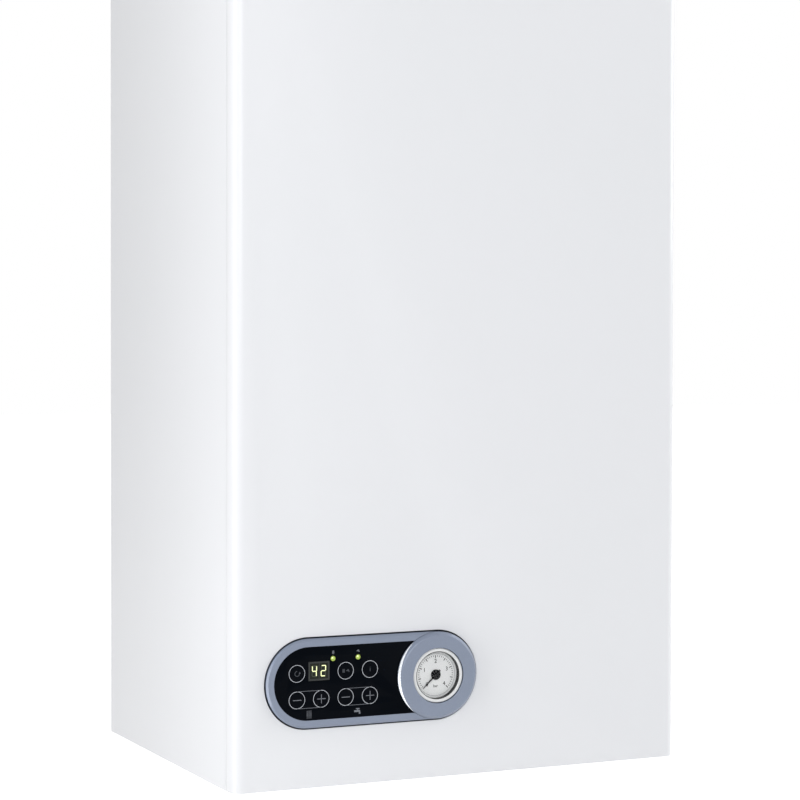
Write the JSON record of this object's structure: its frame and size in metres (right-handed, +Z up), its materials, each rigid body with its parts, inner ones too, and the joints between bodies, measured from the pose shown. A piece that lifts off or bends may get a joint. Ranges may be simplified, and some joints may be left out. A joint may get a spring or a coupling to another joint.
{
  "type": "wall-hung boiler",
  "caption": "Wall-hung combination boiler: white sheet-steel casing, oval control panel with push buttons, display and pressure gauge, complete burner and water side inside.",
  "frame": {"origin": "middle of the wall bracket's back face, which lies on the wall", "axes": "+X to the right as seen from the front, +Y towards the wall, +Z up"},
  "size_m": [0.4, 0.3149, 0.758],
  "materials": {
    "white_paint": "smooth satin white powder coat",
    "galvanised_steel": "zinc-coated sheet, faint spangle",
    "aluminised_steel": "aluminium-coated sheet, slightly heat-tinted",
    "silver_plastic": "blue-grey silver paint on moulded plastic",
    "black_gloss": "high-gloss black",
    "black_plastic": "moulded satin black",
    "grey_plastic": "fine-grained moulded grey",
    "white_plastic": "smooth white",
    "green_lamp": "lit yellow-green lens",
    "clear_glass": "clear, polished",
    "circuit_board": "green solder mask",
    "copper": "drawn copper, lightly tarnished",
    "brass": "cast and turned brass",
    "stainless_steel": "pressed stainless steel",
    "cast_aluminium": "die-cast, bead blasted",
    "red_paint": "red powder coat",
    "dark_paint": "dark satin coating on a cast case",
    "ceramic_fibre": "pressed ceramic fibre board",
    "silicone_hose": "soft translucent silicone",
    "red_plastic": "moulded red",
    "blue_plastic": "moulded blue"
  },
  "bodies": {
    "casing": {"left_panel": "white_paint", "right_panel": "white_paint", "top_plate": "white_paint", "flue_collar": "white_paint", "back_frame": "galvanised_steel", "bottom_plate": "galvanised_steel", "wall_bracket": "galvanised_steel", "air_box": "galvanised_steel", "combustion_chamber": "aluminised_steel", "chamber_lining": "ceramic_fibre", "burner": "stainless_steel", "gas_manifold": "aluminised_steel", "electrode_block": "white_plastic", "heat_exchanger": "copper", "flue_hood": "aluminised_steel", "fan_housing": "aluminised_steel", "fan_motor": "dark_paint", "air_pressure_switch": "white_plastic", "pressure_hose": "silicone_hose", "expansion_vessel": "red_paint", "vessel_pipe": "copper", "flow_group": "brass", "diverter_motor": "black_plastic", "plate_exchanger": "stainless_steel", "return_group": "brass", "pump_motor": "dark_paint", "gas_valve": "cast_aluminium", "gas_inlet": "brass", "flow_pipe": "copper", "return_pipe": "copper", "gauge_capillary": "copper"},
    "cover": {"front_cover": "white_paint"},
    "control_unit": {"control_box": "grey_plastic", "control_rear_cover": "grey_plastic", "control_board": "circuit_board", "bezel": "silver_plastic", "window": "black_gloss", "display": "grey_plastic", "lamp_heating": "green_lamp", "lamp_water": "green_lamp", "gauge_ring": "silver_plastic", "gauge_case": "white_plastic", "gauge_dial": "white_plastic", "gauge_lens": "clear_glass"},
    "needle": {"gauge_needle": "black_plastic"},
    "reset_key": {"button_reset": "black_gloss"},
    "season_key": {"button_season": "black_gloss"},
    "info_key": {"button_info": "black_gloss"},
    "heating_minus_key": {"button_heating_minus": "black_gloss"},
    "heating_plus_key": {"button_heating_plus": "black_gloss"},
    "water_minus_key": {"button_water_minus": "black_gloss"},
    "water_plus_key": {"button_water_plus": "black_gloss"},
    "air_cover": {"air_box_cover": "galvanised_steel", "sight_glass": "clear_glass"},
    "fan_rotor": {"fan_impeller": "galvanised_steel"},
    "pump_shaft": {"pump_rotor": "stainless_steel"},
    "diverter": {"diverter_stem": "stainless_steel"},
    "safety_grip": {"safety_knob": "red_plastic"},
    "filling_tap": {"filling_knob": "blue_plastic"},
    "vent_cap": {"air_vent_cap": "black_plastic"}
  },
  "joints": [
    {"name": "cover_pull", "type": "slide", "parent": "casing", "child": "cover", "axis": [0, -1, 0], "range_m": [0, 0.3]},
    {"name": "control_tilt", "type": "hinge", "parent": "casing", "child": "control_unit", "pos_m": [0, -0.29, -0.61], "axis": [1, 0, 0], "range_deg": [0, 70]},
    {"name": "air_cover_pull", "type": "slide", "parent": "casing", "child": "air_cover", "axis": [0, -1, 0], "range_m": [0, 0.15]},
    {"name": "needle_turn", "type": "hinge", "parent": "control_unit", "child": "needle", "pos_m": [-0.0253, -0.3096, -0.5572], "axis": [0, 1, 0], "range_deg": [0, 270], "stiffness_Nm_per_rad": 0.0005},
    {"name": "press_reset", "type": "slide", "parent": "control_unit", "child": "reset_key", "axis": [0, 1, 0], "range_m": [0, 0.0008], "stiffness_N_per_m": 400, "springref_m": -0.0005},
    {"name": "press_season", "type": "slide", "parent": "control_unit", "child": "season_key", "axis": [0, 1, 0], "range_m": [0, 0.0008], "stiffness_N_per_m": 400, "springref_m": -0.0005},
    {"name": "press_info", "type": "slide", "parent": "control_unit", "child": "info_key", "axis": [0, 1, 0], "range_m": [0, 0.0008], "stiffness_N_per_m": 400, "springref_m": -0.0005},
    {"name": "press_heating_minus", "type": "slide", "parent": "control_unit", "child": "heating_minus_key", "axis": [0, 1, 0], "range_m": [0, 0.0008], "stiffness_N_per_m": 400, "springref_m": -0.0005},
    {"name": "press_heating_plus", "type": "slide", "parent": "control_unit", "child": "heating_plus_key", "axis": [0, 1, 0], "range_m": [0, 0.0008], "stiffness_N_per_m": 400, "springref_m": -0.0005},
    {"name": "press_water_minus", "type": "slide", "parent": "control_unit", "child": "water_minus_key", "axis": [0, 1, 0], "range_m": [0, 0.0008], "stiffness_N_per_m": 400, "springref_m": -0.0005},
    {"name": "press_water_plus", "type": "slide", "parent": "control_unit", "child": "water_plus_key", "axis": [0, 1, 0], "range_m": [0, 0.0008], "stiffness_N_per_m": 400, "springref_m": -0.0005},
    {"name": "fan_turn", "type": "hinge", "parent": "casing", "child": "fan_rotor", "pos_m": [-0.0425, -0.19, -0.0249], "axis": [0, 1, 0], "continuous": true},
    {"name": "pump_turn", "type": "hinge", "parent": "casing", "child": "pump_shaft", "pos_m": [0.118, -0.13, -0.462], "axis": [0, 1, 0], "continuous": true},
    {"name": "diverter_shift", "type": "slide", "parent": "casing", "child": "diverter", "axis": [0, 0, 1], "range_m": [0, 0.008]},
    {"name": "safety_turn", "type": "hinge", "parent": "casing", "child": "safety_grip", "pos_m": [0.152, -0.13, -0.56], "axis": [0, -1, 0], "range_deg": [0, 90]},
    {"name": "filling_turn", "type": "hinge", "parent": "casing", "child": "filling_tap", "pos_m": [0.0975, -0.075, -0.65], "axis": [0, 0, 1], "range_deg": [0, 270]},
    {"name": "vent_turn", "type": "hinge", "parent": "casing", "child": "vent_cap", "pos_m": [0.118, -0.109, -0.39], "axis": [0, 0, 1], "range_deg": [0, 180]}
  ],
  "couplings": [
    {"joint": "control_tilt", "follows": "cover_pull", "rad_per_m": 4.07},
    {"joint": "air_cover_pull", "follows": "cover_pull", "ratio": 0.5}
  ]
}
